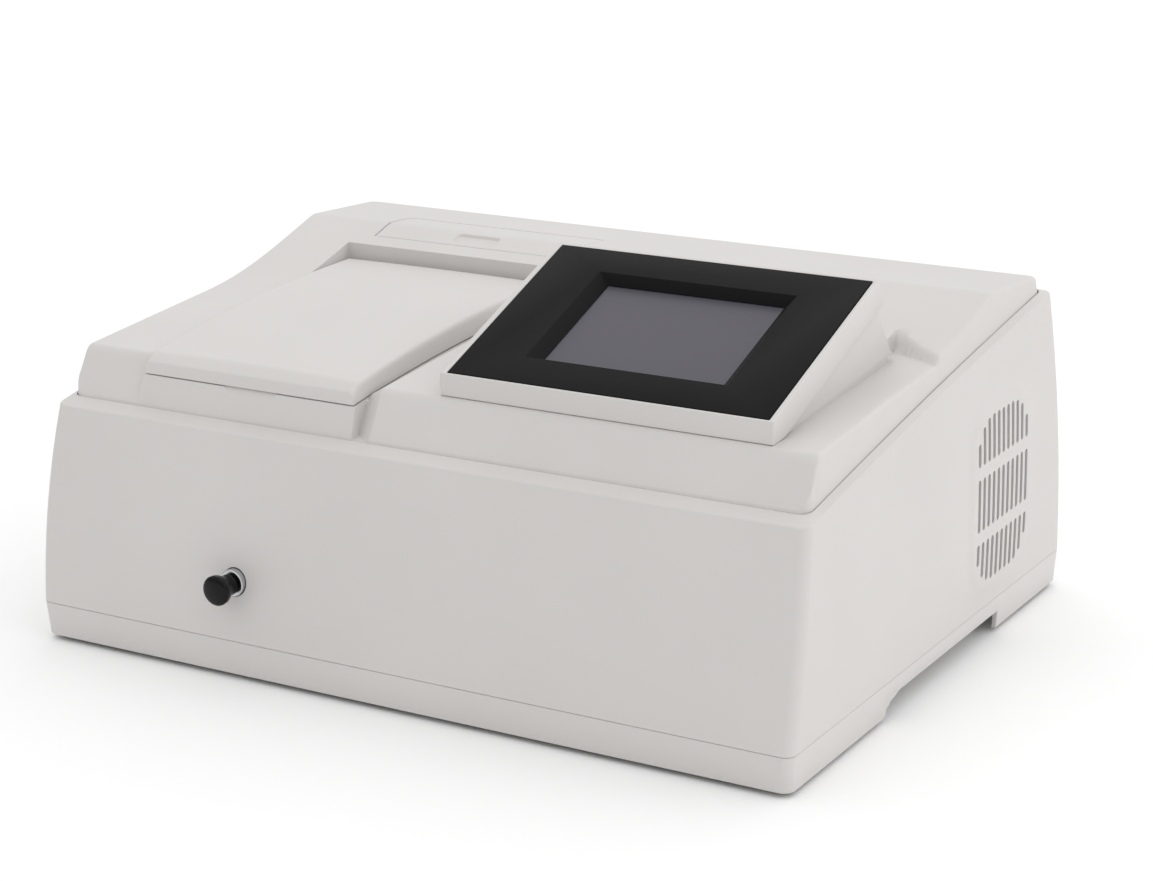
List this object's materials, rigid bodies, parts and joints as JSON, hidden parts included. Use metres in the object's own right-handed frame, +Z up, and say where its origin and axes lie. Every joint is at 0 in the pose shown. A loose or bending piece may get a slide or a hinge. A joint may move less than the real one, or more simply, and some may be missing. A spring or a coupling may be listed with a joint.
{
  "type": "spectrophotometer",
  "caption": "Bench-top spectrophotometer: white wedge casing, hinged sample lid, tilted touch display, pull-rod cell changer, side vent, optics inside.",
  "frame": {"origin": "middle of the whole outline on the plane the feet stand on", "axes": "+X to the instrument's right as its user faces it, -Y towards the user, +Z up"},
  "size_m": [0.5324, 0.4172, 0.2481],
  "materials": {
    "casing_white": "fine moulded texture",
    "bezel_black": "satin",
    "screen_glass": "clear hard coat",
    "screen_panel": "dark",
    "knob_black": "polished",
    "inner_black": "matt black",
    "black_plastic": "fine texture",
    "bright_steel": "ground",
    "plate_steel": "rolled",
    "cast_aluminium": "machined",
    "board_green": "solder mask",
    "mirror_face": "coated",
    "lamp_glass": "clear",
    "foot_rubber": "matt",
    "brass": "cut"
  },
  "bodies": {
    "body": {"base_tray": "casing_white", "main_casing": "casing_white", "top_cover": "casing_white", "display_frame": "casing_white", "display_pedestal": "casing_white", "display_bezel": "bezel_black", "touch_glass": "screen_glass", "lcd_panel": "screen_panel", "display_board": "board_green", "lid_pin_left": "bright_steel", "lid_pin_right": "bright_steel", "sample_chamber": "inner_black", "rack_rail": "cast_aluminium", "rod_bush": "bright_steel", "optical_bench": "cast_aluminium", "monochromator_housing": "inner_black", "monochromator_cover": "inner_black", "entrance_slit": "bright_steel", "exit_slit": "bright_steel", "collimating_mirror": "mirror_face", "camera_mirror": "mirror_face", "fold_mirror": "mirror_face", "turret_post": "bright_steel", "grating_motor": "plate_steel", "lamp_house": "plate_steel", "halogen_holder": "black_plastic", "halogen_lamp": "lamp_glass", "deuterium_holder": "black_plastic", "deuterium_lamp": "lamp_glass", "mirror_motor": "plate_steel", "filter_motor": "plate_steel", "detector_housing": "inner_black", "preamp_board": "board_green", "photodiode": "bright_steel", "fan_frame": "black_plastic", "power_supply": "board_green", "main_board": "board_green", "connector_plate": "plate_steel", "power_inlet": "black_plastic", "power_switch": "black_plastic", "serial_port": "bright_steel", "plate_screw_left": "bright_steel", "plate_screw_right": "bright_steel", "foot_front_left": "foot_rubber", "foot_front_right": "foot_rubber", "foot_rear_left": "foot_rubber", "foot_rear_right": "foot_rubber"},
    "lid": {"sample_lid": "casing_white"},
    "cell_changer": {"cell_rack": "inner_black", "changer_rod": "bright_steel", "changer_knob": "knob_black"},
    "hatch": {"rear_hatch": "casing_white"},
    "rocker": {"power_rocker": "black_plastic"},
    "fan": {"fan_rotor": "black_plastic"},
    "turret": {"grating_turret": "cast_aluminium", "grating": "mirror_face"},
    "pinion": {"motor_pinion": "brass"},
    "filters": {"filter_wheel": "inner_black"},
    "lamp_mirror": {"source_mirror": "mirror_face"}
  },
  "joints": [
    {"name": "lid_hinge", "type": "hinge", "parent": "body", "child": "lid", "pos_m": [-0.1235, 0.06375, 0.1945], "axis": [-1, 0, 0], "range_deg": [0, 88]},
    {"name": "changer_slide", "type": "slide", "parent": "body", "child": "cell_changer", "axis": [0, -1, 0], "range_m": [0, 0.048]},
    {"name": "hatch_hinge", "type": "hinge", "parent": "body", "child": "hatch", "pos_m": [-0.1125, 0.12775, 0.21862], "axis": [-1, 0, 0], "range_deg": [0, 100]},
    {"name": "rocker_tilt", "type": "hinge", "parent": "body", "child": "rocker", "pos_m": [0.135, 0.18955, 0.065], "axis": [-1, 0, 0], "range_deg": [0, 20]},
    {"name": "fan_spin", "type": "hinge", "parent": "body", "child": "fan", "pos_m": [0.241, 0.09875, 0.0966], "axis": [1, 0, 0], "continuous": true},
    {"name": "grating_turn", "type": "hinge", "parent": "body", "child": "turret", "pos_m": [0.11, 0.01275, 0.088], "axis": [0, 0, 1], "range_deg": [-30, 30]},
    {"name": "pinion_spin", "type": "hinge", "parent": "body", "child": "pinion", "pos_m": [0.0764, 0.01275, 0.041], "axis": [0, 0, 1], "range_deg": [-181, 181]},
    {"name": "filter_spin", "type": "hinge", "parent": "body", "child": "filters", "pos_m": [0.1475, 0.06275, 0.088], "axis": [1, 0, 0], "continuous": true},
    {"name": "lamp_mirror_turn", "type": "hinge", "parent": "body", "child": "lamp_mirror", "pos_m": [0.195, 0.03775, 0.088], "axis": [0, 0, 1], "range_deg": [-90, 0]}
  ],
  "couplings": [
    {"joint": "pinion_spin", "follows": "grating_turn", "ratio": -6}
  ]
}
